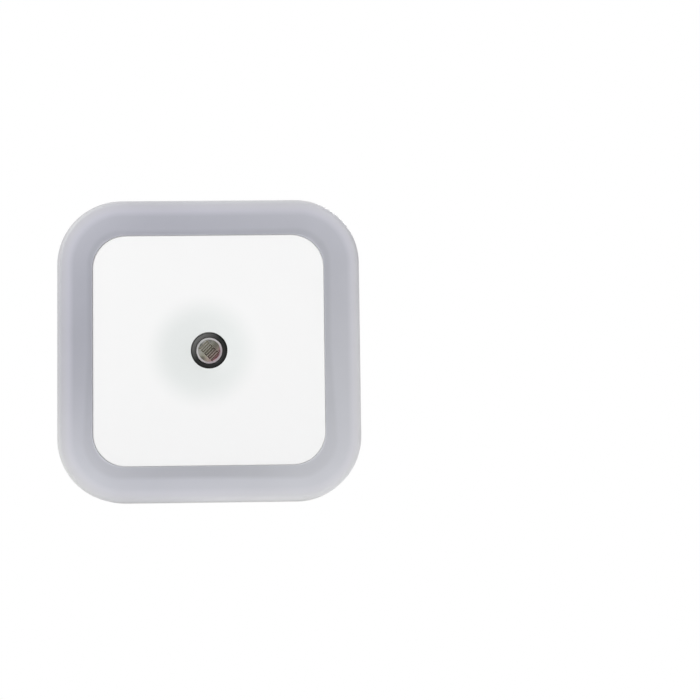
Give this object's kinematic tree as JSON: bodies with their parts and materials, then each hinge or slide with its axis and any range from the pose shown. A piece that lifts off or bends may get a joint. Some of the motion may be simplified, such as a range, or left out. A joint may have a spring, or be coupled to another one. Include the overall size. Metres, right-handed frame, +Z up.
{
  "type": "plug in night light",
  "caption": "Square plug in night light with a milky light frame, a dished light sensor in its front plate and a flat mains plug on its back.",
  "frame": {"origin": "middle of the plug's engagement face, midway between the pins, where the face meets the socket", "axes": "+Z up, +Y along the pins into the wall, so the front looks along -Y, and the pins lie side by side along X"},
  "size_m": [0.0654, 0.0688, 0.0654],
  "materials": {
    "housing_white": "fine satin ABS moulding",
    "plug_white": "fine satin moulding",
    "sleeve_white": "satin",
    "milky_diffuser": "translucent, satin",
    "plate_white": "smooth semi gloss",
    "pin_metal": "nickel plated, polished",
    "tube_black": "satin black",
    "cell_ceramic": "pale, fine grained",
    "cell_track": "sintered film",
    "cell_silver": "matt metal film",
    "cell_clear": "clear resin",
    "tinned_wire": "tinned copper wire",
    "board": "resist coated glass epoxy",
    "led_white": "white lamp package",
    "led_yellow": "phosphor filled resin",
    "film_capacitor": "dipped resin",
    "can_sleeve": "shrink sleeve on an aluminium can",
    "resistor_body": "lacquer",
    "diode_body": "moulded epoxy",
    "zener_glass": "tinted glass body",
    "transistor_body": "moulded epoxy",
    "live_insulation": "wire insulation",
    "neutral_insulation": "wire insulation",
    "solder": "bright solder",
    "screw_steel": "zinc plated"
  },
  "bodies": {
    "root": {"rear_housing": "housing_white", "plug_insert": "plug_white", "live_pin": "pin_metal", "neutral_pin": "pin_metal", "live_pin_sleeve": "sleeve_white", "neutral_pin_sleeve": "sleeve_white", "diffuser": "milky_diffuser", "front_plate": "plate_white", "sensor_tube": "tube_black", "photocell_disc": "cell_ceramic", "photocell_track": "cell_track", "photocell_electrodes": "cell_silver", "photocell_coating": "cell_clear", "photocell_leads": "tinned_wire", "circuit_board": "board", "led_packages": "led_white", "led_phosphors": "led_yellow", "dropper_capacitor": "film_capacitor", "smoothing_capacitor": "can_sleeve", "capacitor_leads": "tinned_wire", "surge_resistor": "resistor_body", "bleed_resistor": "resistor_body", "bias_resistor": "resistor_body", "resistor_leads": "tinned_wire", "rectifier_diodes": "diode_body", "zener_diode": "zener_glass", "diode_leads": "tinned_wire", "switch_transistor": "transistor_body", "transistor_legs": "tinned_wire", "solder_joints": "solder", "live_wire": "live_insulation", "neutral_wire": "neutral_insulation", "plug_screws": "screw_steel", "board_screws": "screw_steel"}
  },
  "joints": []
}
